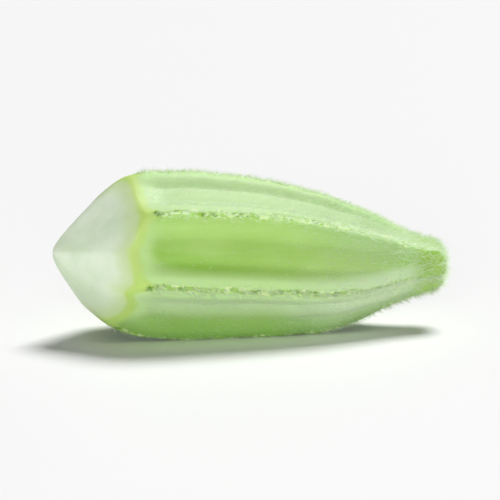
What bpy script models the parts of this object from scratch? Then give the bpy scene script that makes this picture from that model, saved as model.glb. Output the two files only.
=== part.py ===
"""A small fresh okra pod with its stem end pared to a low cone, lying on a surface.

Run with: blender --background --python part.py
Metres, +Z up. The pod lies along X, pared end at -X and tip at +X, and rests on z = 0.
"""

import math

import bmesh
import bpy
from mathutils import Matrix, Vector

MM = 0.001

# Size of the whole pod
POD_LENGTH = 40.0 * MM          # from the point of the pared cone to the tip
CREST_RADIUS = 8.55 * MM        # axis to rib crest where the pod is thickest

# How it lies: nose down on two neighbouring ribs, where its weight balances
NOSE_DOWN = math.radians(3.9)
FLAT_DEPTH = 0.10 * MM          # how far the two lowest ribs are pressed flat
BOW = 0.40 * MM                 # sideways bow of the middle line
NOSE_DROOP = 0.35 * MM          # the middle line sags by this much towards the nose
DROOP_FROM = 0.45               # share of the length where that sag starts

# Outline over the rib crests: share of the length, share of the crest radius.
# The first points are the green shoulder that the knife takes away, all but a strip.
CREST_OUTLINE = (
    (-0.050, 0.30),
    (0.050, 0.570),
    (0.100, 0.735),
    (0.150, 0.880),
    (0.200, 0.955),
    (0.250, 0.988),
    (0.310, 1.000),
    (0.375, 0.992),
    (0.470, 0.960),
    (0.580, 0.902),
    (0.670, 0.826),
    (0.750, 0.715),
    (0.830, 0.548),
    (0.895, 0.408),
    (0.950, 0.315),
)
NUB_START = 0.950               # from here the tip is a blunt round nub
NUB_POWER = 2.4                 # 2 is a round end, more is blunter

# Ribs: the direction of each crest at the collar and at the tip, in degrees from +Y over the top (+Z)
RIBS = (
    (90.0, 87.0),
    (141.0, 132.0),
    (192.5, 196.5),
    (244.3, 244.3),
    (295.7, 295.7),
    (346.5, 350.0),
    (398.0, 401.0),
)
WANDER = (0.22, 1.0)            # where along the length a crest goes from the one to the other
CREST_ROUND = 0.13              # rounding of a crest, as a share of the half panel
LIP_EDGE = (0.28, 0.56)         # share of the half panel over which a rib's lip falls to its groove
GROOVE_DEPTH = 0.62 * MM        # how far the groove lies under a flat face from rib to rib
DOME_RISE = 0.26 * MM           # how far the middle of a panel stands out of its grooves
HOLLOW_FROM = (0.180, 0.260)    # the grooves open here along the length, past the shoulder rim
HOLLOW_TO = (0.70, 0.96)        # and run out here, towards the tip
RIBS_FADE = (0.93, 1.0)         # the ribs melt into the nub

# The pared end: knife strokes round one point, each its direction and its angle to the axis, in degrees.
# The two strokes underneath are the blunt ones, and leave a strip of green shoulder.
STROKES = (
    (50.0, 46.0),
    (84.0, 46.5),
    (118.0, 41.8),
    (150.0, 42.6),
    (182.0, 43.5),
    (212.0, 46.5),
    (246.0, 49.5),
    (288.0, 50.0),
    (330.0, 46.5),
    (371.0, 44.0),
)
STROKE_BLEND = 40.0             # how crisp the edges between the strokes are
POINT_ROUND = 1.0 * MM          # the strokes curve together at the point: more is rounder
CUT_WITHIN = (0.04, 0.32)       # the cut ends somewhere between these shares of the length
HALVINGS = 40                   # steps in finding where

# Grid over the pod
COLUMNS_PER_RIB = 14
COLUMN_GATHER = 1.2             # above 1, columns stand closer together at the crests
CONE_RINGS = 8
RINGS_AT_POINT = 1.5            # above 1, rings stand closer together at the cone's point
BODY_RINGS = 38
RINGS_AT_COLLAR = 1.25          # the same at the collar
RINGS_AT_TIP = 1.7              # and at the tip

SKIN_COLOUR = (0.34, 0.56, 0.14, 1.0)
SKIN_ROUGHNESS = 0.55
FLESH_COLOUR = (0.68, 0.79, 0.60, 1.0)
FLESH_ROUGHNESS = 0.4
SKIN_SLOT, FLESH_SLOT = 0, 1    # the order of the materials on the mesh
SHARP_EDGE = math.radians(28.0)


def smoothstep(low, high, x):
    """0 below low, 1 above high, an S curve between."""
    t = min(1.0, max(0.0, (x - low) / (high - low)))
    return t * t * (3.0 - 2.0 * t)


def curve_through(points, x):
    """A smooth curve through the points: a cubic between each two, with its slopes from their neighbours."""
    last = len(points) - 2
    i = 0
    while i < last and x > points[i + 1][0]:
        i += 1

    def slope(k):
        before = points[max(0, k - 1)]
        after = points[min(len(points) - 1, k + 1)]
        return (after[1] - before[1]) / (after[0] - before[0])

    (x0, y0), (x1, y1) = points[i], points[i + 1]
    span = x1 - x0
    t = (x - x0) / span
    return (
        (2 * t**3 - 3 * t**2 + 1) * y0
        + (t**3 - 2 * t**2 + t) * span * slope(i)
        + (3 * t**2 - 2 * t**3) * y1
        + (t**3 - t**2) * span * slope(i + 1)
    )


def crest_radius(share):
    """Axis to rib crest at a share of the length, with the tip rounded off as a superellipse."""
    if share <= NUB_START:
        return CREST_RADIUS * curve_through(CREST_OUTLINE, share)
    foot = CREST_OUTLINE[-1][1]
    t = min(1.0, (share - NUB_START) / (1.0 - NUB_START))
    return CREST_RADIUS * foot * (1.0 - t**NUB_POWER) ** (1.0 / NUB_POWER)


def rib_directions(share):
    """The directions of the crests at a share of the length, with the first one again after a full turn."""
    moved = smoothstep(*WANDER, share)
    crests = [collar + (tip - collar) * moved for collar, tip in RIBS]
    return crests + [crests[0] + 360.0]


def panel_at(share, degrees):
    """The panel that a direction falls in: half its width in radians, and how far the direction is from the
    nearer rib, 0 on the crest and 1 in the middle of the panel."""
    ribs = rib_directions(share)
    turned = (degrees - ribs[0]) % 360.0 + ribs[0]
    k = max(i for i in range(len(RIBS)) if ribs[i] <= turned)
    half = (ribs[k + 1] - ribs[k]) / 2
    from_rib = min(turned - ribs[k], ribs[k + 1] - turned) / half
    return math.radians(half), from_rib


def body_radius(share, degrees):
    """Axis to skin. A section is a polygon with its corners rounded on the ribs. Each rib has a lip on both
    sides, then a groove, and the panel between two grooves is a low dome."""
    crest = crest_radius(share)
    half, from_rib = panel_at(share, degrees)
    rounded = math.sqrt(from_rib**2 + CREST_ROUND**2) - CREST_ROUND
    flat = math.cos(half) / math.cos(half * (1.0 - rounded))
    ribbed = 1.0 - smoothstep(*RIBS_FADE, share)
    depth = smoothstep(*LIP_EDGE, from_rib) * GROOVE_DEPTH - smoothstep(LIP_EDGE[1], 1.0, from_rib) * DOME_RISE
    depth *= smoothstep(*HOLLOW_FROM, share) * (1.0 - smoothstep(*HOLLOW_TO, share))
    return crest * (1.0 + ribbed * (flat - 1.0) - depth / CREST_RADIUS)


def stroke_slope(degrees):
    """How fast the pared cone widens in this direction: the nearest knife stroke's plane, its edges softened."""
    nearness = 0.0
    for stroke, half_angle in STROKES:
        facing = math.cos(math.radians(degrees - stroke))
        if facing > 0.0:
            nearness += (facing / math.tan(math.radians(half_angle))) ** STROKE_BLEND
    return nearness ** (-1.0 / STROKE_BLEND)


def cone_radius(share, slope):
    """Axis to the pared surface: a hyperbola, round at the point and almost straight further on."""
    along = share * POD_LENGTH
    return slope * math.sqrt(along**2 + 2.0 * along * POINT_ROUND)


def foot_of_cut(degrees, slope):
    """The share of the length at which the pared cone meets the skin, found by halving."""
    low, high = CUT_WITHIN
    for _ in range(HALVINGS):
        middle = (low + high) / 2
        if cone_radius(middle, slope) < body_radius(middle, degrees):
            low = middle
        else:
            high = middle
    return (low + high) / 2


def column_direction(share, column):
    """The direction of a column of the grid, in degrees: each rib has its columns gathered about its crest."""
    rib, step = divmod(column, COLUMNS_PER_RIB)
    ribs = rib_directions(share)
    across = 2.0 * step / COLUMNS_PER_RIB
    if across <= 1.0:
        place = across**COLUMN_GATHER / 2
    else:
        place = 1.0 - (2.0 - across) ** COLUMN_GATHER / 2
    return ribs[rib] + (ribs[rib + 1] - ribs[rib]) * place


def surface_point(share, radius, degrees):
    """A point at a radius from the middle line, which bows sideways and sags on the way to the nose."""
    bow = BOW * math.sin(math.pi * share)
    droop = NOSE_DROOP * math.sin(math.pi * smoothstep(DROOP_FROM, 1.0, share))
    angle = math.radians(degrees)
    return Vector((
        share * POD_LENGTH,
        bow + radius * math.cos(angle),
        radius * math.sin(angle) - droop,
    ))


def pod_point(column, ring):
    """Where a vertex of the sphere goes: the first rings are the pared cone, the others the skin."""
    degrees = column_direction(0.0, column)
    slope = stroke_slope(degrees)
    foot = foot_of_cut(degrees, slope)
    if ring <= CONE_RINGS:
        share = foot * (ring / CONE_RINGS) ** RINGS_AT_POINT
        return surface_point(share, cone_radius(share, slope), degrees)
    t = (ring - CONE_RINGS) / BODY_RINGS
    share = foot + (1.0 - foot) * (1.0 - (1.0 - t**RINGS_AT_COLLAR) ** RINGS_AT_TIP)
    degrees = column_direction(share, column)
    return surface_point(share, body_radius(share, degrees), degrees)


def sphere_place(point, columns, rings):
    """The column and ring of a vertex of the unit sphere. Its first column lies on +X, or half a step past it."""
    ring = round(math.acos(max(-1.0, min(1.0, -point.z))) / math.pi * rings)
    turned = math.atan2(point.y, point.x) / (2 * math.pi) * columns
    return math.floor(turned + 0.25) % columns, ring


def pod_mesh():
    """A sphere, each vertex moved to its place on the pod, so that both ends stay closed."""
    columns = COLUMNS_PER_RIB * len(RIBS)
    rings = CONE_RINGS + BODY_RINGS
    bm = bmesh.new()
    bmesh.ops.create_uvsphere(bm, u_segments=columns, v_segments=rings, radius=1.0)
    places = {vertex: sphere_place(vertex.co, columns, rings) for vertex in bm.verts}
    for face in bm.faces:
        on_cone = all(places[vertex][1] <= CONE_RINGS for vertex in face.verts)
        face.material_index = FLESH_SLOT if on_cone else SKIN_SLOT
    for vertex, (column, ring) in places.items():
        vertex.co = pod_point(column, ring)
    return bm


def balance_point(bm):
    """The centre of mass of the closed mesh: tetrahedra from the origin, weighted by volume."""
    total = 0.0
    moment = Vector()
    for face in bm.calc_loop_triangles():
        a, b, c = (loop.vert.co for loop in face)
        volume = a.dot(b.cross(c)) / 6.0
        total += volume
        moment += volume * (a + b + c) / 4.0
    return moment / total


def lay_down(bm):
    """Tip the nose down about the balance point, press the two lowest ribs flat at z = 0, and centre the pod."""
    centre = balance_point(bm)
    turn = Matrix.Rotation(NOSE_DOWN, 4, "Y")
    bmesh.ops.transform(bm, matrix=turn @ Matrix.Translation(-centre), verts=bm.verts)
    lowest = min(v.co.z for v in bm.verts)
    bmesh.ops.translate(bm, vec=Vector((0.0, 0.0, -lowest - FLAT_DEPTH)), verts=bm.verts)
    cut = bmesh.ops.bisect_plane(
        bm,
        geom=bm.verts[:] + bm.edges[:] + bm.faces[:],
        plane_co=(0.0, 0.0, 0.0),
        plane_no=(0.0, 0.0, 1.0),
        dist=1e-7,
        clear_inner=True,
    )
    rim = [e for e in cut["geom_cut"] if isinstance(e, bmesh.types.BMEdge)]
    bmesh.ops.holes_fill(bm, edges=rim)
    xs = [v.co.x for v in bm.verts]
    ys = [v.co.y for v in bm.verts]
    middle = Vector(((min(xs) + max(xs)) / 2, (min(ys) + max(ys)) / 2, 0.0))
    bmesh.ops.translate(bm, vec=-middle, verts=bm.verts)


def plain_material(name, colour, roughness):
    material = bpy.data.materials.new(name)
    material.use_nodes = True
    shader = material.node_tree.nodes["Principled BSDF"]
    shader.inputs["Base Color"].default_value = colour
    shader.inputs["Roughness"].default_value = roughness
    shader.inputs["Metallic"].default_value = 0.0
    return material


def make_pod():
    bm = pod_mesh()
    lay_down(bm)
    bmesh.ops.recalc_face_normals(bm, faces=bm.faces)
    mesh = bpy.data.meshes.new("okra_pod")
    mesh.materials.append(plain_material("okra_skin", SKIN_COLOUR, SKIN_ROUGHNESS))
    mesh.materials.append(plain_material("okra_flesh", FLESH_COLOUR, FLESH_ROUGHNESS))
    bm.to_mesh(mesh)
    bm.free()
    mesh.shade_smooth()
    mesh.set_sharp_from_angle(angle=SHARP_EDGE)
    return bpy.data.objects.new("okra_pod", mesh)


def main():
    for obj in list(bpy.data.objects):
        bpy.data.objects.remove(obj)
    collection = bpy.data.collections.new("okra_pod")
    bpy.context.scene.collection.children.link(collection)
    collection.objects.link(make_pod())


main()
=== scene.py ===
# %% [markdown]
# # A small fresh okra pod
#
# A stubby young okra pod lies on a white table. Somebody has pared its stem end to a low cone, so pale moist
# flesh meets the green skin along a scalloped line. Seven ribs run from that line to a blunt tip. The skin
# between them is bare and yellow-green, and the ribs and the tip carry short whitish hairs.
#
# This notebook makes the finish of that pod around a plain solid that is already at its real size. The solid
# comes in first, and its box is measured before anything else is added.

# %% Load the solid pod
import math

import bpy
import numpy as np
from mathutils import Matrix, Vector


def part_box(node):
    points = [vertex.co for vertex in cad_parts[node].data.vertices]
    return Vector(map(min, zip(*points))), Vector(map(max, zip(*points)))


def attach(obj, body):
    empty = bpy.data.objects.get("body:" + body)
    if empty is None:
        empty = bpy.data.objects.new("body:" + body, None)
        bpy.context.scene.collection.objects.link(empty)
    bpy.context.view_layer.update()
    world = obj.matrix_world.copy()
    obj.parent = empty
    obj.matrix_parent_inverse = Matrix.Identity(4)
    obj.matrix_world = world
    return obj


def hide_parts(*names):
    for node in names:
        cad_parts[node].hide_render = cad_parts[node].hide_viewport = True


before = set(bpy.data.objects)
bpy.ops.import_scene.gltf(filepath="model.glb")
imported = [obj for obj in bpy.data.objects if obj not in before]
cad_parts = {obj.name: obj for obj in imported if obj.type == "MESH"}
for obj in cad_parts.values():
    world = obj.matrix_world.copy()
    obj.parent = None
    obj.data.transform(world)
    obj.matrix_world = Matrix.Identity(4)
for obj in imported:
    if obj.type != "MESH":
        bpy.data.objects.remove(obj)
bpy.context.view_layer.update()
print("nodes:", sorted(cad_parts))

MM = 0.001

# %% [markdown]
# ## The outline over the ribs
#
# Seen from the side, the pod swells quickly behind the pared end, is thickest at a third of its length and
# then tapers in a long curve to a blunt nub. A few points hold that outline, and a smooth curve through them
# gives the radius anywhere. The same points made the solid, so the ribs of the fine skin lie on its ribs. Few
# points and one curve are easier to mend than a long list of radii, and the result has no flat spots.

# %% Outline from the pared end to the nub
POD_LENGTH = 40.0 * MM
CREST_RADIUS = 8.55 * MM
CREST_OUTLINE = (
    (-0.050, 0.30),
    (0.050, 0.570),
    (0.100, 0.735),
    (0.150, 0.880),
    (0.200, 0.955),
    (0.250, 0.988),
    (0.310, 1.000),
    (0.375, 0.992),
    (0.470, 0.960),
    (0.580, 0.902),
    (0.670, 0.826),
    (0.750, 0.715),
    (0.830, 0.548),
    (0.895, 0.408),
    (0.950, 0.315),
)
NUB_START = 0.950
NUB_POWER = 2.4


def smoothstep(low, high, x):
    """0 below low, 1 above high, and the cubic 3t^2 - 2t^3 between them."""
    t = np.clip((x - low) / (high - low), 0.0, 1.0)
    return t * t * (3.0 - 2.0 * t)


def curve_through(points, x):
    """Cubic Hermite spans through the points. The slope at a point is that of the line between its two
    neighbours."""
    px, py = np.array(points).T
    last = len(px) - 1
    before = np.maximum(np.arange(len(px)) - 1, 0)
    after = np.minimum(np.arange(len(px)) + 1, last)
    slope = (py[after] - py[before]) / (px[after] - px[before])
    i = np.clip(np.searchsorted(px, x) - 1, 0, last - 1)
    span = px[i + 1] - px[i]
    t = (x - px[i]) / span
    start = (2 * t**3 - 3 * t**2 + 1) * py[i] + (t**3 - 2 * t**2 + t) * span * slope[i]
    return start + (3 * t**2 - 2 * t**3) * py[i + 1] + (t**3 - t**2) * span * slope[i + 1]


def crest_radius(share):
    """Axis to rib crest at a share of the length: the outline curve, then a superellipse for the nub, whose
    radius is foot * (1 - t^n)^(1/n)."""
    body = curve_through(CREST_OUTLINE, np.minimum(share, NUB_START))
    t = np.clip((share - NUB_START) / (1.0 - NUB_START), 0.0, 1.0)
    nub = CREST_OUTLINE[-1][1] * (1.0 - t**NUB_POWER) ** (1.0 / NUB_POWER)
    return CREST_RADIUS * np.where(share <= NUB_START, body, nub)


print("thickest, mm:", round(2000 * float(crest_radius(np.linspace(0.1, 1, 500)).max()), 2))

# %% [markdown]
# ## Seven ribs and the panels between them
#
# A slice through the pod is a seven-sided figure. Each corner is a rounded rib, and beside it lies a lip that
# drops into a shallow groove, from which the panel rises again as a low dome. The ribs aren't quite evenly
# spaced, and they wander a little on their way to the tip, as they do on anything that grew. So each rib has
# a direction at the collar and another at the tip, and everything else is measured from the nearest rib.
#
# The fall from a lip to its groove is spread a little wider than in the solid, and the dome begins sooner, at
# most 0.19 mm away from it. The light then fades across them as on soft skin, where the steeper forms would
# draw hard lines along the pod.

# %% Sections with ribs, lips, grooves and domes
RIBS = (
    (90.0, 87.0),
    (141.0, 132.0),
    (192.5, 196.5),
    (244.3, 244.3),
    (295.7, 295.7),
    (346.5, 350.0),
    (398.0, 401.0),
)
WANDER = (0.22, 1.0)
CREST_ROUND = 0.13
LIP_EDGE = (0.22, 0.68)
GROOVE_DEPTH = 0.62 * MM
DOME_RISE = 0.26 * MM
DOME_FROM = 0.35
HOLLOW_FROM = (0.180, 0.260)
HOLLOW_TO = (0.70, 0.96)
RIBS_FADE = (0.93, 1.0)


def rib_directions(share):
    """The crests' directions in degrees at each share of the length, the first again after a full turn."""
    collar, tip = np.array(RIBS).T
    crests = collar + (tip - collar) * smoothstep(*WANDER, share)[..., None]
    return np.concatenate([crests, crests[..., :1] + 360.0], axis=-1)


def panel_at(share, degrees):
    """Half the panel's width in radians, and the distance from the nearer rib: 0 on the crest, 1 half way to
    the next."""
    ribs = rib_directions(share)
    turned = (degrees - ribs[..., 0]) % 360.0 + ribs[..., 0]
    k = (turned[..., None] >= ribs[..., 1:-1]).sum(-1)[..., None]
    lower = np.take_along_axis(ribs, k, -1)[..., 0]
    upper = np.take_along_axis(ribs, k + 1, -1)[..., 0]
    half = (upper - lower) / 2
    return np.radians(half), np.minimum(turned - lower, upper - turned) / half


def body_radius(share, degrees):
    """Axis to skin: the chord between two crests, cos(half) / cos(angle from the panel's middle), with
    rounded corners, less the groove and plus the dome."""
    half, from_rib = panel_at(share, degrees)
    rounded = np.sqrt(from_rib**2 + CREST_ROUND**2) - CREST_ROUND
    flat = np.cos(half) / np.cos(half * (1.0 - rounded))
    ribbed = 1.0 - smoothstep(*RIBS_FADE, share)
    groove = smoothstep(*LIP_EDGE, from_rib) * GROOVE_DEPTH
    dome = smoothstep(DOME_FROM, 1.0, from_rib) * DOME_RISE
    open_here = smoothstep(*HOLLOW_FROM, share) * (1.0 - smoothstep(*HOLLOW_TO, share))
    return crest_radius(share) * (1.0 + ribbed * (flat - 1.0) - (groove - dome) * open_here / CREST_RADIUS)


print("panels, degrees:", np.diff(rib_directions(np.array(0.0))).round(1).tolist())

# %% [markdown]
# ## The pared end
#
# A cook pares the cap off okra like the end of a pencil: ten short strokes round one point. Each stroke is
# nearly a plane, so the cut is a cone with soft facets, and where it runs out through the ribbed skin it
# leaves a scalloped edge by itself. The cone is worked out in each direction from the nearest stroke, and the
# place where it meets the skin is found by halving, for all directions at once.

# %% Knife strokes and the edge of the cut
STROKES = (
    (50.0, 46.0),
    (84.0, 46.5),
    (118.0, 41.8),
    (150.0, 42.6),
    (182.0, 43.5),
    (212.0, 46.5),
    (246.0, 49.5),
    (288.0, 50.0),
    (330.0, 46.5),
    (371.0, 44.0),
)
STROKE_BLEND = 40.0
POINT_ROUND = 1.0 * MM
CUT_WITHIN = (0.04, 0.32)
HALVINGS = 40
EDGE_ROUND = 0.30 * MM


def stroke_slope(degrees):
    """How fast the cone widens: one over the soft maximum, for all strokes, of cos(angle to the stroke) /
    tan(its slant)."""
    stroke, slant = np.radians(np.array(STROKES)).T
    facing = np.maximum(np.cos(np.radians(degrees)[..., None] - stroke), 0.0)
    return ((facing / np.tan(slant)) ** STROKE_BLEND).sum(-1) ** (-1.0 / STROKE_BLEND)


def cone_radius(share, slope):
    """Axis to pared flesh: the hyperbola slope * sqrt(x^2 + 2 x r), round at the point and then straight."""
    along = share * POD_LENGTH
    return slope * np.sqrt(along**2 + 2.0 * along * POINT_ROUND)


def foot_of_cut(degrees):
    """The share of the length where the cone reaches the skin, by halving the range it must lie in."""
    slope = stroke_slope(degrees)
    low, high = (np.full_like(degrees, end) for end in CUT_WITHIN)
    for _ in range(HALVINGS):
        middle = (low + high) / 2
        inside = cone_radius(middle, slope) < body_radius(middle, degrees)
        low, high = np.where(inside, middle, low), np.where(inside, high, middle)
    return (low + high) / 2


def softer_of(a, b, width):
    """The smaller of a and b, rounded where they are within width of each other:
    mix(b, a, h) - width * h * (1 - h) with h = 1/2 + (b - a) / (2 width)."""
    h = np.clip(0.5 + 0.5 * (b - a) / width, 0.0, 1.0)
    return b + (a - b) * h - width * h * (1.0 - h)


around = np.linspace(0.0, 360.0, 361)
print("cut ends at, mm:", (1000 * POD_LENGTH * foot_of_cut(around)[[90, 180, 270]]).round(2).tolist())

# %% [markdown]
# ## Fine relief
#
# Close up, the crest of each rib is a seam. It is a hair-fine, wandering furrow with tiny pits at uneven
# distances, between the swollen feet of the hairs. The rest of the skin is a little uneven, as anything is
# that swelled round seeds. All of it is real shape here and not only a bump in the material. The unevenness
# along a rib comes from random numbers at a fixed pitch with smooth curves between them, which never repeat
# as a wave would.

# %% Seam furrows with pits
SEED = 7
SEAM_WIDTH = 0.16 * MM
SEAM_DEPTH = 0.10 * MM
SEAM_SWAYS = ((1.4 * MM, 0.30 * MM), (0.5 * MM, 0.16 * MM))
PIT_PITCH = 0.55 * MM
PIT_EDGE = (0.35, 0.75)
FIRST_PIT = (1.6 * MM, 2.2 * MM)
PIT_SHARE = 0.80
LIP_SWELL = 0.045 * MM
SWELL_AT = 2.1
SWELL_LOST_IN_PIT = 0.6
SEAM_FROM = (0.6 * MM, 1.3 * MM)
SEAM_TO = (0.90, 0.97)


def nearest_rib(share, degrees):
    """The number of the nearest rib, and the way round the section from its crest, below 0 on one side."""
    ribs = rib_directions(share)
    turned = (degrees - ribs[..., 0]) % 360.0 + ribs[..., 0]
    away = turned[..., None] - ribs
    nearest = np.abs(away).argmin(-1)
    beside = np.radians(np.take_along_axis(away, nearest[..., None], -1)[..., 0]) * crest_radius(share)
    return nearest % len(RIBS), beside


def uneven(along, rib, pitch, seed):
    """Random numbers from 0 to 1 at every pitch along each rib, joined by half cosines."""
    table = np.random.default_rng(seed).random((len(RIBS), int(POD_LENGTH / pitch) + 3))
    step = (along / pitch).astype(int)
    t = 0.5 - 0.5 * np.cos(np.pi * (along / pitch - step))
    return table[rib, step] * (1.0 - t) + table[rib, step + 1] * t


def seams(share, degrees, past_cut):
    """How far a place is from the wandering seam, and how deep in a pit it lies, from 0 to 1. The first pit
    is where the seam starts."""
    rib, beside = nearest_rib(share, degrees)
    along = share * POD_LENGTH
    for pitch, sway in SEAM_SWAYS:
        beside = beside - sway * (uneven(along, rib, pitch, SEED) - 0.5)
    pits = smoothstep(*PIT_EDGE, uneven(along, rib, PIT_PITCH, SEED + 1))
    return np.abs(beside), np.maximum(pits, 1.0 - smoothstep(*FIRST_PIT, past_cut))


def seam_relief(share, past_cut, beside, pits):
    """How far the seams lie under the smooth skin: the bell depth * exp(-(distance / width)^2) across the
    seam, deeper in the pits, less a low swelling SWELL_AT widths away on both sides."""
    furrow = SEAM_DEPTH * np.exp(-((beside / SEAM_WIDTH) ** 2)) * (1.0 - PIT_SHARE + PIT_SHARE * pits)
    swell = LIP_SWELL * np.exp(-((beside / SEAM_WIDTH - SWELL_AT) ** 2)) * (1.0 - SWELL_LOST_IN_PIT * pits)
    there = smoothstep(*SEAM_FROM, past_cut) * (1.0 - smoothstep(*SEAM_TO, share))
    return (furrow - swell) * there


# %% Slow waves of the skin
WAVES = 9
WAVE_HEIGHT = 0.045 * MM
WAVE_TURNS = (1, 8)
WAVE_SWINGS = (2.0, 9.0)
WAVES_FROM = (0.0, 1.5 * MM)
WAVES_TO = (0.97, 1.0)


def slow_waves(share, degrees):
    """The sum of sin(turns * angle + 2 pi * swings * share + phase) over waves drawn at random. Their turns
    are whole numbers, so that each wave meets itself round the pod."""
    draw = np.random.default_rng(SEED)
    height = 0.0
    for _ in range(WAVES):
        turns = draw.integers(*WAVE_TURNS)
        swings = draw.uniform(*WAVE_SWINGS)
        phase = draw.uniform(0.0, 2 * np.pi)
        height = height + np.sin(turns * np.radians(degrees) + 2 * np.pi * swings * share + phase)
    return WAVE_HEIGHT * height / math.sqrt(WAVES)


# %% [markdown]
# ## The fine surface as one grid
#
# The pod is a grid with one column for each direction and one ring for each station along it. The columns
# gather at the seams, where the relief is finest, and the rings at both ends. All the vertices are computed
# as whole arrays. The pod is then tipped nose down, as it lies on two of its ribs, and moved so that its box
# meets the solid's. What would sink into the table is pressed flat, as the soft ribs are.

# %% Grid of the whole pod
NOSE_DOWN = math.radians(3.9)
BOW = 0.40 * MM
NOSE_DROOP = 0.35 * MM
DROOP_FROM = 0.45
COLUMNS_PER_RIB = 38
COLUMN_GATHER = 1.35
CONE_RINGS = 32
RINGS_AT_POINT = 1.4
BODY_RINGS = 296
RINGS_AT_COLLAR = 1.1
RINGS_AT_TIP = 1.35


def column_directions(share):
    """Degrees of every column, each at its own share: place p between two ribs is p^g / 2, mirrored past the
    middle."""
    column = np.arange(len(RIBS) * COLUMNS_PER_RIB)
    rib, step = np.divmod(column, COLUMNS_PER_RIB)
    across = 2.0 * step / COLUMNS_PER_RIB
    place = np.where(across <= 1.0, across**COLUMN_GATHER / 2, 1.0 - (2.0 - across) ** COLUMN_GATHER / 2)
    ribs = rib_directions(share)
    lower, upper = ribs[..., column, rib], ribs[..., column, rib + 1]
    return lower + (upper - lower) * place


def ring_shares(foot):
    """Share of the length for each ring and column: foot * t^a on the cone, and past it 1 - (1 - t^b)^c of
    what is left."""
    cone = (np.arange(CONE_RINGS) / CONE_RINGS) ** RINGS_AT_POINT
    t = np.arange(BODY_RINGS + 1) / BODY_RINGS
    body = 1.0 - (1.0 - t**RINGS_AT_COLLAR) ** RINGS_AT_TIP
    return np.concatenate([np.outer(cone, foot), foot + np.outer(body, 1.0 - foot)])


def on_the_pod(share, degrees, radius):
    """A point at a radius from the middle line, which bows sideways as a half sine and sags near the nose."""
    bow = BOW * np.sin(np.pi * share)
    droop = NOSE_DROOP * np.sin(np.pi * smoothstep(DROOP_FROM, 1.0, share))
    angle = np.radians(degrees)
    across, up = bow + radius * np.cos(angle), radius * np.sin(angle) - droop
    return np.stack([share * POD_LENGTH, across, up], axis=-1)


def tipped(points):
    """The points turned about Y, so that the nose goes down."""
    c, s = math.cos(NOSE_DOWN), math.sin(NOSE_DOWN)
    x, y, z = np.moveaxis(points, -1, 0)
    return np.stack([c * x + s * z, y, c * z - s * x], axis=-1)


foot = foot_of_cut(column_directions(np.zeros(len(RIBS) * COLUMNS_PER_RIB)))
share = ring_shares(foot)
degrees = column_directions(share)
past_cut = (share - foot) * POD_LENGTH
from_rib = panel_at(share, degrees)[1]
smooth_skin = softer_of(cone_radius(share, stroke_slope(degrees)), body_radius(share, degrees), EDGE_ROUND)
beside_seam, pits = seams(share, degrees, past_cut)
wavy_here = smoothstep(*WAVES_FROM, past_cut) * (1.0 - smoothstep(*WAVES_TO, share))
relief = slow_waves(share, degrees) * wavy_here - seam_relief(share, past_cut, beside_seam, pits)

smooth_grid = tipped(on_the_pod(share, degrees, smooth_skin))
low, high = smooth_grid.min((0, 1)), smooth_grid.max((0, 1))
solid_low, solid_high = (np.array(corner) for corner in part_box("okra_pod"))
shift = (solid_low + solid_high - low - high) / 2
shift[2] = solid_high[2] - high[2]
grid = tipped(on_the_pod(share, degrees, smooth_skin + relief)) + shift
grid[..., 2] = np.maximum(grid[..., 2], 0.0)
misfit = (high - low) - (solid_high - solid_low)
print("grid:", grid.shape, "longer than the solid by, mm:", round(1000 * float(misfit[0]), 4))

# %% [markdown]
# ## Where the bloom and the painted light are
#
# Bloom is the pale, hazy look of young skin, made of wax and the stumps of fine hairs. The pale colours here
# are also painted light: the upper side and the lips that face up are painted paler, as where the light from
# above falls, and the bare front panel is left green. A number for each panel, one for each side of each rib
# and one for each panel's end say how pale each is, in the order of the ribs. Painting it by panel keeps the
# border between pale and bare skin on the seams.
#
# The green begins at the foot of the cut, a little sooner on the ribs than between them. On the lower front
# one last stroke was so shallow that it took off only the skin, so the flesh shows further there.
#
# The pale rim round a panel runs along its ribs and across its end, and turns the corner between them in a
# curve. Adding the two distances as powers, (a^-p + b^-p)^(-1/p), gives one distance whose lines do just
# that.

# %% Where the green begins
SHALLOW_STROKE = (212.0, 34.0)
SHALLOW_REACH = (0.100, 0.165)
SOONER_ON_RIB = 0.15 * MM
ON_RIB = (0.0, 0.4)
LATER_BETWEEN = 0.40 * MM
BETWEEN_RIBS = (0.1, 0.8)


def green_from(foot, degrees, from_rib):
    """Share of the length where the green begins: the foot of the cut or the reach of the shallow stroke,
    which is a bell in the direction, low + (high - low) * exp(-((d - middle) / width)^2), then moved a
    little by the ribs."""
    middle, width = SHALLOW_STROKE
    low, high = SHALLOW_REACH
    reach = low + (high - low) * np.exp(-(((degrees - middle) / width) ** 2))
    later = LATER_BETWEEN * smoothstep(*BETWEEN_RIBS, from_rib)
    sooner = SOONER_ON_RIB * (1 - smoothstep(*ON_RIB, from_rib))
    return np.maximum(foot, reach) + (later - sooner) / POD_LENGTH


past_green = (share - green_from(foot, degrees, from_rib)) * POD_LENGTH
print("green from, mm:", (-1000 * past_green[0, :: COLUMNS_PER_RIB // 2]).round(1).tolist())

# %% Bloom and painted light on panels, lips and ends
# How pale each panel, lip and end is, from bloom and from painted light where they face up.
PANEL_BLOOM_AND_LIGHT = (0.80, 0.0, 0.92, 0.25, 0.20, 0.10, 0.75)
END_BLOOM_AND_LIGHT = (0.90, 0.65, 0.80, 0.50, 0.50, 0.60, 0.90)
LIP_BLOOM_AND_LIGHT = (
    (0.80, 0.75),
    (0.75, 0.05),
    (1.00, 0.75),
    (0.40, 0.20),
    (0.20, 0.20),
    (0.55, 1.00),
    (0.10, 0.90),
)
LIP_WIDTH = 1.35 * MM
END_WIDTH = 1.05 * MM
END_FROM = 0.65 * MM
CORNER_POWER = 1.5
NO_NEARER = 0.01


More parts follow.
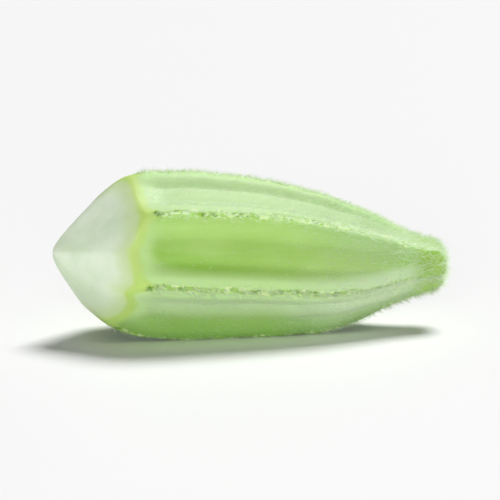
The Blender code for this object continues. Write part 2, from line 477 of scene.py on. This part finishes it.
def bloom_and_light_by_column():
    """The bloom and painted light of each column's panel, of the lip on its side of the nearer rib, and of
    the panel's end.
    """
    rib, step = np.divmod(np.arange(len(RIBS) * COLUMNS_PER_RIB), COLUMNS_PER_RIB)
    past_middle = step > COLUMNS_PER_RIB / 2
    nearer = (rib + past_middle) % len(RIBS)
    lips = np.array(LIP_BLOOM_AND_LIGHT)
    lip = np.where(past_middle, lips[nearer, 0], lips[nearer, 1])
    return np.array(PANEL_BLOOM_AND_LIGHT)[rib], lip, np.array(END_BLOOM_AND_LIGHT)[rib]


def rim_of_panel(share, degrees, past_green):
    """Distance into the panel in rim widths, with rounded corners, and how much of the rim there is end
    rather than lip."""
    half, from_rib = panel_at(share, degrees)
    lip = np.maximum(from_rib * half * crest_radius(share) / LIP_WIDTH, NO_NEARER) ** -CORNER_POWER
    end = np.maximum((past_green - END_FROM) / END_WIDTH, NO_NEARER) ** -CORNER_POWER
    return (lip + end) ** (-1.0 / CORNER_POWER), end / (lip + end)


panel_bloom_and_light, lip_bloom_and_light, end_bloom_and_light = (np.broadcast_to(values, share.shape) for values in bloom_and_light_by_column())
rim, endness = rim_of_panel(share, degrees, past_green)
rim_bloom_and_light = lip_bloom_and_light + (end_bloom_and_light - lip_bloom_and_light) * endness
print("rim from", round(float(rim.min()), 2), "to", round(float(rim.max()), 2), "widths")

# %% [markdown]
# ## From the grid to a closed mesh
#
# A grid that closes round leaves one row of points at each end that all lie in one place. Those become a
# single vertex, a pole, with triangles round it, so the mesh is one closed skin whose faces point out. The
# numbers that the materials need, such as the distance from the nearest rib, go into the mesh as attributes:
# they then follow the ribs wherever they wander, which no flat projection could.

# %% Mesh of the pod
COLUMNS = len(RIBS) * COLUMNS_PER_RIB
RINGS = len(share) - 1


def closed_faces(rings, columns):
    """Quads between rings 1 to rings - 1, each ring closed round, and a fan of triangles at both poles."""
    row, column = np.meshgrid(np.arange(rings - 2), np.arange(columns), indexing="ij")
    beside = (column + 1) % columns
    corners = (row * columns + column, row * columns + beside, (row + 1) * columns + beside)
    quads = np.stack([*corners, (row + 1) * columns + column], axis=-1).reshape(-1, 4)
    first, second = np.arange(columns), (np.arange(columns) + 1) % columns
    last_ring = (rings - 2) * columns
    point, tip = (rings - 1) * columns, (rings - 1) * columns + 1
    point_fan = np.stack([np.full(columns, point), second, first], axis=-1)
    tip_fan = np.stack([last_ring + first, last_ring + second, np.full(columns, tip)], axis=-1)
    return quads, point_fan, tip_fan


def grid_to_vertices(values):
    """Rings 1 to the last but one as they are, then one value for each pole."""
    inner = values[1:-1].reshape(-1, *values.shape[2:])
    return np.concatenate([inner, values[:1, 0], values[-1:, 0]])


def mesh_object(name, vertices, faces, attributes):
    """A mesh object at the origin, with each attribute stored on its vertices."""
    mesh = bpy.data.meshes.new(name)
    mesh.from_pydata(vertices, [], faces)
    for key, values in attributes.items():
        layer = mesh.attributes.new(key, "FLOAT", "POINT")
        layer.data.foreach_set("value", np.ascontiguousarray(values, dtype=np.float32))
    piece = bpy.data.objects.new(name, mesh)
    bpy.context.scene.collection.objects.link(piece)
    print(name, "faces:", len(mesh.polygons), "vertices:", len(mesh.vertices))
    return piece


quads, point_fan, tip_fan = closed_faces(RINGS, COLUMNS)
green_at_vertices = grid_to_vertices(past_green)
pod = mesh_object(
    "whole_pod",
    grid_to_vertices(grid),
    quads.tolist() + point_fan.tolist() + tip_fan.tolist(),
    {
        "from_rib": grid_to_vertices(from_rib),
        "past_green_mm": green_at_vertices / MM,
        "share": grid_to_vertices(share),
        "height": grid_to_vertices(np.sin(np.radians(degrees))),
        "beside_seam_mm": grid_to_vertices(beside_seam) / MM,
        "pits": grid_to_vertices(pits),
        "panel_bloom_and_light": grid_to_vertices(panel_bloom_and_light),
        "rim": grid_to_vertices(rim),
        "rim_bloom_and_light": grid_to_vertices(rim_bloom_and_light),
    },
)
pod.data.shade_smooth()
on_flesh = np.concatenate([green_at_vertices[faces].mean(1) < 0.0 for faces in (quads, point_fan, tip_fan)])

# %% [markdown]
# ## Writing materials as sums
#
# A material is a graph of small nodes, and a long one is hard to read as a list of links. Here one small
# class stands for a node's output. Writing `1 - mask` or `a * b` with it adds the Math nodes, and any other
# node comes from its `node` method: the type, the settings, then what goes into its sockets.


# %% A value inside a material
class Value:
    """An output socket. Sums with it add Math nodes, and node() adds any other node."""

    def __init__(self, tree, socket=None):
        self.tree = tree
        self.socket = socket

    def node(self, kind, settings=None, sockets=None, output=0):
        """A new node's output. Its settings are set first, then each socket gets a number or a link."""
        made = self.tree.nodes.new(kind)
        for name, value in (settings or {}).items():
            setattr(made, name, value)
        for key, value in (sockets or {}).items():
            if isinstance(value, Value):
                self.tree.links.new(value.socket, made.inputs[key])
            else:
                made.inputs[key].default_value = value
        return Value(self.tree, made.outputs[output])

    def maths(self, operation, *numbers):
        return self.node("ShaderNodeMath", {"operation": operation}, dict(enumerate(numbers)))

    def __add__(self, other):
        return self.maths("ADD", self, other)

    __radd__ = __add__

    def __sub__(self, other):
        return self.maths("SUBTRACT", self, other)

    def __rsub__(self, other):
        return self.maths("SUBTRACT", other, self)

    def __mul__(self, other):
        return self.maths("MULTIPLY", self, other)

    __rmul__ = __mul__

    def step(self, low, high):
        """0 below low and 1 above high, as a smooth curve."""
        limits = {"Value": self, "From Min": low, "From Max": high}
        return self.node("ShaderNodeMapRange", {"interpolation_type": "SMOOTHSTEP"}, limits)

    def tint(self, under, over):
        """The colour under where this value is 0, and over where it is 1."""
        return self.node("ShaderNodeMix", {"data_type": "RGBA"}, {0: self, 6: under, 7: over}, output=2)


def attribute(base, name):
    """A number stored on the mesh."""
    return base.node("ShaderNodeAttribute", {"attribute_name": name}, output="Fac")


def noise(base, place, per_mm, detail=2.0, roughness=0.5):
    """Noise from 0 to 1 whose grains are about one over per_mm wide, in millimetres."""
    sockets = {"Vector": place, "Scale": per_mm / MM, "Detail": detail, "Roughness": roughness}
    return base.node("ShaderNodeTexNoise", None, sockets)


def object_place(base, stretch=(1.0, 1.0, 1.0)):
    """Where a point is on the object, with each axis scaled: below 1 draws a pattern out along it."""
    place = base.node("ShaderNodeTexCoord", output="Object")
    return base.node("ShaderNodeMapping", {"vector_type": "POINT"}, {"Vector": place, "Scale": stretch})


def ragged(distance, grains, amount):
    """The distance with noise added, half the amount either way, so that an edge drawn from it isn't
    ruled."""
    return distance + (grains - 0.5) * amount


def seen_as(red, green, blue):
    """A colour as seen on a screen, from 0 to 255, made linear as shaders need it."""
    shown = np.array([red, green, blue]) / 255.0
    linear = np.where(shown <= 0.04045, shown / 12.92, ((shown + 0.055) / 1.055) ** 2.4)
    return (*linear.tolist(), 1.0)


def new_material(name, constants):
    """A material with one Principled shader, and the values that are the same all over it."""
    material = bpy.data.materials.new(name)
    material.use_nodes = True
    shader = material.node_tree.nodes["Principled BSDF"]
    for key, value in constants.items():
        shader.inputs[key].default_value = value
    print("material:", name)
    return material, shader, Value(material.node_tree)


def connect(shader, sockets):
    """Link values into the shader's own sockets."""
    for key, value in sockets.items():
        value.tree.links.new(value.socket, shader.inputs[key])


# %% [markdown]
# ## The skin
#
# Okra skin isn't one green. The panels are a warm yellow-green and nearly bare. The lips beside the ribs and
# the rim round each panel's end are paler, partly because the hairs begin there and partly as painted light
# where they face up. The seam itself is an olive line, with painted shade in its pits and painted highlights
# as pale dots. Next to the cut the skin turns chartreuse, and that colour runs out along each rib in a cusp.
# The underside is painted a deeper green as shade, and the nub is a deeper green of its own.
#
# The colours are laid on one after another, each with its own mask, from the broadest to the finest. The
# masks are built from the numbers that the mesh carries: millimetres from the cut and from the seam, rim
# widths into the panel, the share of the length, and a height from -1 underneath to 1 on top. A mask changes
# smoothly between two such numbers. Noise breaks up the edges so that none looks ruled.

# %% Skin colours
PANEL_GREEN = seen_as(178, 215, 120)
PANEL_DEEP = seen_as(163, 205, 97)
GROOVE_SHADE_GREEN = seen_as(152, 199, 80)
LIP_GREEN = seen_as(200, 232, 162)
BLOOM_AND_LIGHT_GREEN = seen_as(170, 203, 138)
WAX_AND_LIGHT_WHITE = seen_as(214, 233, 194)
UNDER_SHADE_GREEN = seen_as(100, 152, 40)
CHARTREUSE = seen_as(190, 218, 120)
SEAM_GREEN = seen_as(156, 198, 70)
DOT_HIGHLIGHT_GREEN = seen_as(220, 238, 180)
PIT_AND_NOTCH_SHADE_GREEN = seen_as(104, 146, 44)
TIP_GREEN = seen_as(148, 188, 56)


# %% Where each mask begins and ends
TOWARDS_TIP = (0.50, 0.85)
NEAR_COLLAR = (0.30, 0.60)
ON_NUB = (0.88, 0.95)
UNDERSIDE = (-0.97, -0.60)
LOW_SIDE = (-0.3, 0.3)
TOP_SIDE = (0.1, 0.7)
PATCH_EDGE = (0.3, 0.75)
STREAK_EDGE = (0.45, 0.8)
RIM_FADES = (0.60, 1.45)
RIM_DULLS_ABOVE = (0.3, 0.8)
RIM_WAX_AND_LIGHT_BELOW = (0.0, 0.6)
GROOVE_BEGINS = (0.8, 1.5)
GROOVE_ENDS = (1.5, 2.8)
WALL_BEGINS = (0.20, 0.90)
WALL_ENDS = (1.10, 2.20)
WALL_LIGHT_ABOVE = (0.4, 0.8)
BLOOM_AND_LIGHT_ABOVE = (-0.88, -0.45)
CUSP_FADES = (0.0, 0.30)
CUSP_REACH = 1.1
BAND_FADES = (0.40, 1.20)
BAND_FULL_ABOVE = (-0.98, -0.70)
LINE_BEGINS = (1.0, 1.4)
LINE_EDGE = (0.14, 0.40)
DOT_EDGE = (0.28, 0.58)
DOT_GRAINS = (0.50, 0.60)
DARK_EDGE = (0.08, 0.30)
DARK_PITS = (0.30, 0.80)
DARK_GRAINS = (0.44, 0.56)
NOTCH_BEGINS = (0.9, 1.4)
NOTCH_ENDS = (1.4, 2.2)
NOTCH_EDGE = (0.10, 0.48)


# %% Masks of the panels, the cut and the seams
def panel_masks(base, streaks, grains):
    """The pale rim round a panel, the groove inside it and the groove's wall, and where the bloom and the
    painted light from above are.
    """
    rim = attribute(base, "rim")
    height = attribute(base, "height")
    towards_tip = attribute(base, "share").step(*TOWARDS_TIP)
    on_rim = 1 - ragged(ragged(rim, streaks, 0.2), grains, 0.1).step(*RIM_FADES)
    in_groove = rim.step(*GROOVE_BEGINS) * (1 - rim.step(*GROOVE_ENDS))
    on_wall = rim.step(*WALL_BEGINS) * (1 - rim.step(*WALL_ENDS))
    high_enough = (height + towards_tip * 0.5).step(*BLOOM_AND_LIGHT_ABOVE)
    bloom_with_light = (attribute(base, "panel_bloom_and_light") + towards_tip * 0.35) * high_enough * (0.8 + grains * 0.4)
    return on_rim, in_groove, on_wall, bloom_with_light


def cut_mask(base, patches):
    """The band next to the cut, which reaches further along the ribs and is weaker underneath, where the
    painted shade shows through it.
    """
    cusp = (1 - attribute(base, "from_rib").step(*CUSP_FADES)) * CUSP_REACH
    band = 1 - ragged(attribute(base, "past_green_mm") - cusp, patches, 0.4).step(*BAND_FADES)
    return band * (0.5 + attribute(base, "height").step(*BAND_FULL_ABOVE) * 0.5)


def seam_masks(base, grains):
    """The olive line of a seam, its pale dots, which are painted highlights, and its dark pits and the dark
    notch where it starts, which are painted shade.
    """
    past = attribute(base, "past_green_mm")
    beside = attribute(base, "beside_seam_mm")
    pits = attribute(base, "pits")
    beads = noise(base, object_place(base), 1.9, detail=0.0)
    on_seam = past.step(*LINE_BEGINS) * (1 - attribute(base, "share").step(*SEAM_TO))
    olive = (1 - ragged(beside, grains, 0.3).step(*LINE_EDGE)) * on_seam
    dots = (1 - (beside + pits * 0.3).step(*DOT_EDGE)) * beads.step(*DOT_GRAINS) * on_seam
    in_pit = (1 - ragged(beside, grains, 0.4).step(*DARK_EDGE)) * pits.step(*DARK_PITS) * on_seam
    dark = in_pit * (1 - beads.step(*DARK_GRAINS))
    past_notch = ragged(past, grains, 1.2).step(*NOTCH_ENDS)
    notch = (1 - ragged(beside, grains, 0.5).step(*NOTCH_EDGE)) * past.step(*NOTCH_BEGINS) * (1 - past_notch)
    return olive, dots, dark, notch


# %% The skin's colours, laid one over another
def skin_colour(base):
    """The layers of colour, from the panels to the dots and pits of the seams."""
    streaks = noise(base, object_place(base, (0.12, 1.0, 1.0)), 1.6, detail=3.0)
    patches = noise(base, object_place(base, (0.5, 1.0, 1.0)), 0.22)
    grains = noise(base, object_place(base), 4.0, detail=1.0)
    along = attribute(base, "share")
    height = attribute(base, "height")
    rim_bloom_and_light = attribute(base, "rim_bloom_and_light")
    towards_tip = along.step(*TOWARDS_TIP)
    low_side = 1 - height.step(*LOW_SIDE)
    on_rim, in_groove, on_wall, bloom_with_light = panel_masks(base, streaks, grains)
    olive, dots, dark, notch = seam_masks(base, grains)
    rim_wax_and_light = on_rim * rim_bloom_and_light * towards_tip * (1 - height.step(*RIM_WAX_AND_LIGHT_BELOW))
    wall_painted_light = bloom_with_light * on_wall * height.step(*WALL_LIGHT_ABOVE)

    colour = PANEL_GREEN
    for mask, over in (
        (patches.step(*PATCH_EDGE), PANEL_DEEP),
        # Painted shade: a deeper green in the grooves beside the pale lips, in the near half.
        (in_groove * rim_bloom_and_light * (1 - along.step(*NEAR_COLLAR)), GROOVE_SHADE_GREEN),
        (streaks.step(*STREAK_EDGE) * 0.15, LIP_GREEN),
        # Pale bloom, partly wax and hairs and partly painted light on the upper side.
        (bloom_with_light, BLOOM_AND_LIGHT_GREEN),
        # Bloomed panels below the middle are whitened further, most towards the tip.
        (bloom_with_light * low_side * (0.55 + towards_tip * 0.4), WAX_AND_LIGHT_WHITE),
        # Pale lips and panel ends, partly hairs and partly painted light, less pale on top.
        (on_rim * rim_bloom_and_light * (0.95 - height.step(*RIM_DULLS_ABOVE) * 0.55), LIP_GREEN),
        # Painted light on the low lips of the far half, which face up.
        (rim_wax_and_light * 0.8, WAX_AND_LIGHT_WHITE),
        # Painted light: the groove's wall high on the pod is whitened to soften the shade on it, towards the
        # collar.
        (wall_painted_light * (0.3 - towards_tip * 0.3), WAX_AND_LIGHT_WHITE),
        # The top of the far half in the bloom's pale green, partly wax and partly painted light.
        (height.step(*TOP_SIDE) * towards_tip * 0.95, BLOOM_AND_LIGHT_GREEN),
        # Painted shade: the underside is a deeper green.
        ((1 - height.step(*UNDERSIDE)) * 0.85, UNDER_SHADE_GREEN),
        (along.step(*ON_NUB) * 0.90, TIP_GREEN),
        (cut_mask(base, patches), CHARTREUSE),
        (olive * 0.80, SEAM_GREEN),
        # Painted highlights: pale dots along the seams.
        (dots * 0.9, DOT_HIGHLIGHT_GREEN),
        # Painted shade in the pits of the seams and in the notch where each seam starts.
        (dark * 0.75, PIT_AND_NOTCH_SHADE_GREEN),
        (notch * 0.9, PIT_AND_NOTCH_SHADE_GREEN),
    ):
        colour = mask.tint(colour, over)
    return colour


# %% Skin material
SKIN_GRAIN = 0.06 * MM


def skin_material():
    constants = {
        "IOR": 1.42,
        "Subsurface Weight": 0.60,
        "Subsurface Radius": (0.6, 1.0, 0.3),
        "Subsurface Scale": 1.0 * MM,
        "Sheen Weight": 0.15,
        "Sheen Roughness": 0.45,
        "Sheen Tint": (0.93, 1.0, 0.86, 1.0),
    }
    material, shader, base = new_material("okra_skin", constants)
    fine = noise(base, object_place(base, (0.5, 1.0, 1.0)), 7.0, detail=3.0, roughness=0.6)
    broad = noise(base, object_place(base, (0.25, 1.0, 1.0)), 1.2, detail=2.0)
    height = fine * 0.6 + broad * 0.4
    bump = base.node("ShaderNodeBump", None, {"Strength": 0.35, "Distance": SKIN_GRAIN, "Height": height})
    roughness = 0.46 + fine * 0.16 + (1 - attribute(base, "from_rib").step(0.1, 0.4)) * 0.08
    connect(shader, {"Base Color": skin_colour(base), "Roughness": roughness, "Normal": bump})
    return material


# %% [markdown]
# ## The pared flesh
#
# Freshly cut okra is pale, moist and slightly see-through, so light travels a few millimetres inside it and
# shadows on it are soft. Subsurface scattering does that. The colour is a white-green that turns yellow-green
# in the last two millimetres before the skin, and the knife leaves very fine marks along its strokes, which
# show only where the wet surface catches the light.

# %% Flesh material
FLESH_WHITE = seen_as(232, 244, 222)
FLESH_GREY = seen_as(211, 229, 198)
FLESH_SHADE = seen_as(190, 211, 172)
FLESH_RIM = seen_as(202, 222, 160)
CLOUD_EDGE = (0.35, 0.7)
LOW_FLESH = (-0.95, -0.1)
RIM_BEGINS = (-2.2, -0.4)
SKIN_BEGINS = (-0.65, 0.05)
KNIFE_MARK = 0.08 * MM


def flesh_colour(base):
    """White-green with cloudy patches, painted shade towards the bottom, then two steps of yellow-green
    towards the skin.
    """
    clouds = noise(base, object_place(base), 0.35, detail=3.0)
    fibres = noise(base, object_place(base, (0.35, 1.0, 1.0)), 2.2, detail=2.0)
    edge = ragged(attribute(base, "past_green_mm"), clouds, 0.5)
    colour = (clouds.step(*CLOUD_EDGE) * 0.7 + fibres * 0.2).tint(FLESH_WHITE, FLESH_GREY)
    # Painted shade: the lower part of the cut is greyer.
    colour = ((1 - attribute(base, "height").step(*LOW_FLESH)) * 0.7).tint(colour, FLESH_SHADE)
    colour = (edge.step(*RIM_BEGINS) * 0.8).tint(colour, FLESH_RIM)
    return edge.step(*SKIN_BEGINS).tint(colour, CHARTREUSE)


def flesh_material():
    constants = {
        "IOR": 1.38,
        "Subsurface Weight": 0.55,
        "Subsurface Radius": (0.9, 1.0, 0.6),
        "Subsurface Scale": 2.0 * MM,
        "Coat Roughness": 0.25,
    }
    material, shader, base = new_material("pared_flesh", constants)
    marks = noise(base, object_place(base, (0.2, 1.0, 1.0)), 2.5, detail=4.0)
    pores = noise(base, object_place(base), 6.0, detail=1.0)
    height = marks * 0.7 + pores * 0.3
    bump = base.node("ShaderNodeBump", None, {"Strength": 0.25, "Distance": KNIFE_MARK, "Height": height})
    wet = {"Base Color": flesh_colour(base), "Roughness": 0.34 + marks * 0.2, "Coat Weight": pores * 0.35}
    connect(shader, {**wet, "Normal": bump})
    return material


pod.data.materials.append(skin_material())
pod.data.materials.append(flesh_material())
pod.data.polygons.foreach_set("material_index", on_flesh.astype(np.int32))
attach(pod, "root")
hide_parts("okra_pod")

# %% [markdown]
# ## Where the hairs stand
#
# The hairs grow thickest along the ribs and on the nub, and most are worn off wherever the bloom is gone.
# Each hair needs a foot on the skin, so cells of the grid are drawn at random, in proportion to their area
# times how hairy they are, and the foot lies at a random spot inside its cell. That keeps the density right
# wherever the grid is fine or coarse. The draw is seeded, so each run gives the same hairs.

# %% Feet of the hairs
HAIRS_FROM = (0.7 * MM, 1.8 * MM)
TINY = 1e-12


def unit(vectors):
    """The vectors made one long. Those without any length stay as they are."""
    return vectors / np.maximum(np.linalg.norm(vectors, axis=-1, keepdims=True), TINY)


corner_a, corner_b = grid[:-1], np.roll(grid, -1, axis=1)[:-1]
corner_c, corner_d = np.roll(grid, -1, axis=1)[1:], grid[1:]
crossed = np.cross(corner_c - corner_a, corner_d - corner_b)
cell_area = np.linalg.norm(crossed, axis=-1) / 2
cell_normal = unit(crossed)
cell_share, cell_rib = share[:-1], from_rib[:-1]
on_skin = smoothstep(*HAIRS_FROM, past_green[:-1])


def feet(count, hairiness, draw):
    """Foot, outward direction and tipward direction of each hair."""
    weight = (cell_area * hairiness * on_skin).ravel()
    total = np.cumsum(weight)
    cell = np.searchsorted(total, draw.random(count) * total[-1])
    s, t = draw.random((2, count, 1))
    a, b, c, d = (corner.reshape(-1, 3)[cell] for corner in (corner_a, corner_b, corner_c, corner_d))
    foot_point = (a * (1 - s) + b * s) * (1 - t) + (d * (1 - s) + c * s) * t
    return foot_point, cell_normal.reshape(-1, 3)[cell], unit(d - a)


print("skin area, mm2:", round(float(cell_area.sum()) * 1e6))

# %% [markdown]
# ## One hair
#
# A hair is a three-sided spike in two lengths. It leaves the skin at a slant and bends further towards the
# tip of the pod. Three sides are enough, because a hair is thinner than a pixel, and every hair is still a
# closed solid with a base and a point. All the hairs of a piece are built at once: their centre lines are one
# array, and each ring of corners is another.

# %% Growing the hairs
HAIR_SINK = 0.02 * MM
HAIR_SAG = (0.0, 0.0, -0.08)
WAIST = 0.36
SIDES = 3
ANY_DIRECTION = (0.31, 0.42, 0.85)
FLOOR_GAP = 0.03 * MM


def hair_lines(foot_point, outward, tipward, length, lean, spread, draw):
    """Three stations on each hair: the foot, half way, and the point. A hair slants by 0.6 to 1.4 times the
    lean, and its second half leans more and sags a little."""
    aside = np.cross(outward, tipward)
    sway = draw.normal(0.0, spread, (len(length), 1))
    slant = lean * (0.6 + 0.8 * draw.random((len(length), 1)))
    half = length[:, None] * 0.5
    first = unit(outward + tipward * slant + aside * sway)
    second = unit(first + tipward * slant * 0.6 + aside * sway * 0.5 + HAIR_SAG)
    middle = foot_point + first * half
    return np.stack([foot_point - outward * HAIR_SINK, middle, middle + second * half], axis=1)


def hair_mesh(name, lines, thickness):
    """Spikes about the lines: a triangle at the foot, a smaller one half way, and a point. The first corner
    of each triangle is square to the hair and to ANY_DIRECTION."""
    count = len(lines)
    along = unit(lines[:, 1] - lines[:, 0])
    side = unit(np.cross(along, ANY_DIRECTION))
    other = np.cross(along, side)
    turn = 2 * np.pi * np.arange(SIDES) / SIDES
    rim = side[:, None] * np.cos(turn)[:, None] + other[:, None] * np.sin(turn)[:, None]
    base = lines[:, :1] + rim * thickness[:, None, None] / 2
    waist = lines[:, 1:2] + rim * thickness[:, None, None] * WAIST
    vertices = np.concatenate([base, waist, lines[:, 2:]], axis=1).reshape(-1, 3)
    i, j = np.arange(SIDES), (np.arange(SIDES) + 1) % SIDES
    first = np.arange(count)[:, None, None] * (2 * SIDES + 1)
    sides = (first + np.stack([i, j, j + SIDES, i + SIDES], axis=-1)).reshape(-1, 4)
    points = (first + np.stack([i + SIDES, j + SIDES, np.full(SIDES, 2 * SIDES)], axis=-1)).reshape(-1, 3)
    ends = (first + np.arange(SIDES)[::-1]).reshape(-1, SIDES)
    up_hair = np.tile(np.repeat([0.0, 0.5, 1.0], [SIDES, SIDES, 1]), count)
    return mesh_object(name, vertices, sides.tolist() + points.tolist() + ends.tolist(), {"up_hair": up_hair})


def grow(name, hairiness, count, lengths, thickness, lean, spread, seed):
    """A piece of hairs: feet are drawn, lines grown, and those that would touch the table left out. A hair is
    0.75 to 1.25 times a length from the range, and within a fifth of the thickness."""
    draw = np.random.default_rng(seed)
    foot_point, outward, tipward = feet(count, hairiness, draw)
    length = draw.uniform(*lengths, count) * (0.75 + 0.5 * draw.random(count) ** 2)
    lines = hair_lines(foot_point, outward, tipward, length, lean, spread, draw)
    width = thickness * draw.uniform(0.8, 1.2, count)
    clear = lines[..., 2].min(axis=1) > FLOOR_GAP
    piece = hair_mesh(name, lines[clear], width[clear])
    piece.visible_shadow = False
    piece.data.materials.append(hair_finish)
    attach(piece, "root")
    return piece


# %% [markdown]
# ## The colour of the hairs
#
# The hairs are glassy and nearly white, with a little green at the foot where they grow from the skin. Light
# goes right through them, so a hair is bright even on the side that is turned away from the lamp. The finish
# therefore mixes a plain surface with a translucent one, which takes in light from behind, and the hairs are
# set to cast no shadow.

# %% Hair material
HAIR_FOOT = seen_as(172, 198, 142)
HAIR_POINT = seen_as(218, 227, 208)
HAIR_THROUGH = 0.26


def hair_material():
    material, shader, base = new_material("okra_hairs", {"IOR": 1.45})
    up_hair = attribute(base, "up_hair")
    grain = noise(base, object_place(base), 3.0, detail=1.0)
    colour = (up_hair.step(0.0, 0.7) * 0.8 + grain * 0.2).tint(HAIR_FOOT, HAIR_POINT)
    connect(shader, {"Base Color": colour, "Roughness": 0.35 + grain * 0.2})
    surface = Value(base.tree, shader.outputs[0])
    through = base.node("ShaderNodeBsdfTranslucent", None, {"Color": HAIR_POINT})
    both = base.node("ShaderNodeMixShader", None, {0: HAIR_THROUGH, 1: surface, 2: through})
    base.tree.links.new(both.socket, base.tree.nodes["Material Output"].inputs["Surface"])
    return material


hair_finish = hair_material()

# %% [markdown]
# ## Three kinds of hair
#
# The long ones stand on the ribs and make the fringe that shows against the light. Short ones stand wherever
# the bloom is left and all over the far half. Both are thinner on the underside, where they wear off first.
# The nub has its own dense tuft.

# %% How hairy each place is
RIB_EDGE = (0.02, 0.20)
FAR_HALF = (0.45, 0.90)
ABOVE_UNDERSIDE = (-0.9, -0.1)
TUFT_FROM = (0.80, 0.93)

on_rib = 1.0 - smoothstep(*RIB_EDGE, cell_rib)
towards_tip = smoothstep(*FAR_HALF, cell_share)
not_under = smoothstep(*ABOVE_UNDERSIDE, np.sin(np.radians(degrees[:-1])))
rib_hairiness = on_rib * (0.30 + 0.70 * towards_tip) * (0.25 + 0.75 * not_under)
panel_hairiness = 0.03 + 0.5 * towards_tip + 0.45 * panel_bloom_and_light[:-1] * (0.2 + 0.8 * not_under)
nub_hairiness = smoothstep(*TUFT_FROM, cell_share)
print("share of skin on ribs:", round(float((cell_area * on_rib).sum() / cell_area.sum()), 2))

# %% Rib hairs, short hairs and the tuft on the nub
RIB_HAIRS = {
    "count": 8700,
    "lengths": (0.42 * MM, 0.80 * MM),
    "thickness": 0.042 * MM,
    "lean": 0.7,
    "spread": 0.45,
    "seed": 11,
}
SHORT_HAIRS = {
    "count": 13000,
    "lengths": (0.25 * MM, 0.50 * MM),
    "thickness": 0.034 * MM,
    "lean": 1.1,
    "spread": 0.5,
    "seed": 12,
}
TUFT_HAIRS = {
    "count": 2300,
    "lengths": (0.50 * MM, 1.00 * MM),
    "thickness": 0.042 * MM,
    "lean": 0.4,
    "spread": 0.4,
    "seed": 13,
}

grow("rib_hairs", rib_hairiness, **RIB_HAIRS)
grow("short_hairs", panel_hairiness, **SHORT_HAIRS)
grow("tip_hairs", nub_hairiness, **TUFT_HAIRS)

# %% [markdown]
# ## Table, light and camera
#
# The pod lies on a plain white table. One large soft light stands high, behind the pod and towards its tip.
# It puts the pale shine on the upper side and a soft shadow in front. A second one, low in front, lights the
# side that faces the camera, and dim white surroundings fill the shadows. The camera looks across the table
# from ten degrees above it, a little from the stem end, through a long lens, which keeps the far end of the
# pod as large as the near end.

# %% Table
TABLE_SIZE = 4.0
TABLE_DROP = 0.02 * MM
TABLE_WHITE = (0.94, 0.94, 0.94)
TABLE_ROUGHNESS = 0.6


def pale_table():
    half = TABLE_SIZE / 2
    x, y = np.meshgrid([-half, half], [-half, half])
    corners = np.stack([x, y, np.full_like(x, -TABLE_DROP)], axis=-1).reshape(-1, 3)
    table = mesh_object("table", corners, [(0, 1, 3, 2)], {})
    constants = {"Base Color": (*TABLE_WHITE, 1.0), "Roughness": TABLE_ROUGHNESS}
    table.data.materials.append(new_material("table_white", constants)[0])


pale_table()

# %% Light
KEY_STRENGTH = 3.0
KEY_SPREAD = math.radians(24.0)
KEY_TURN = (math.radians(-26.0), math.radians(20.0), 0.0)
FILL_STRENGTH = 2.3
FILL_SPREAD = math.radians(30.0)
FILL_TURN = (math.radians(84.0), 0.0, math.radians(-16.0))
SURROUNDINGS = 0.12


def soft_light(name, strength, spread, turn):
    """A light from far away that is as wide as spread in the sky."""
    light = bpy.data.lights.new(name, "SUN")
    light.energy = strength
    light.angle = spread
    lamp = bpy.data.objects.new(name, light)
    lamp.rotation_euler = turn
    bpy.context.scene.collection.objects.link(lamp)


soft_light("key_light", KEY_STRENGTH, KEY_SPREAD, KEY_TURN)
soft_light("fill_light", FILL_STRENGTH, FILL_SPREAD, FILL_TURN)
world = bpy.data.worlds.new("white_surroundings")
world.use_nodes = True
world.node_tree.nodes["Background"].inputs["Color"].default_value = (1.0, 1.0, 1.0, 1.0)
world.node_tree.nodes["Background"].inputs["Strength"].default_value = SURROUNDINGS
bpy.context.scene.world = world
bpy.context.scene.view_settings.view_transform = "Standard"

# %% Camera
AZIMUTH, ELEVATION = math.radians(-11.0), math.radians(10.0)
LENS = 300.0
SENSOR = 36.0
FRAME_WIDTH = 50.0 * MM
CLIP = (0.01, 20.0)


def long_lens_camera():
    """Stand off so that FRAME_WIDTH fills the picture, looking at the middle of the pod."""
    data = bpy.data.cameras.new("camera")
    data.lens = LENS
    data.sensor_width = SENSOR
    data.clip_start, data.clip_end = CLIP
    back = Vector((
        math.sin(AZIMUTH) * math.cos(ELEVATION),
        -math.cos(AZIMUTH) * math.cos(ELEVATION),
        math.sin(ELEVATION),
    ))
    middle = Vector(((solid_low + solid_high) / 2).tolist())
    camera = bpy.data.objects.new("camera", data)
    camera.location = middle + back * (FRAME_WIDTH * LENS / SENSOR)
    camera.rotation_euler = back.to_track_quat("Z", "Y").to_euler()
    bpy.context.scene.collection.objects.link(camera)
    bpy.context.scene.camera = camera


long_lens_camera()

# %% [markdown]
# ## The end
#
# The finished pod must be as large as the solid it was made around, apart from the hairs. The script ends by
# bringing the scene up to date.

# %% The end
bpy.context.view_layer.update()
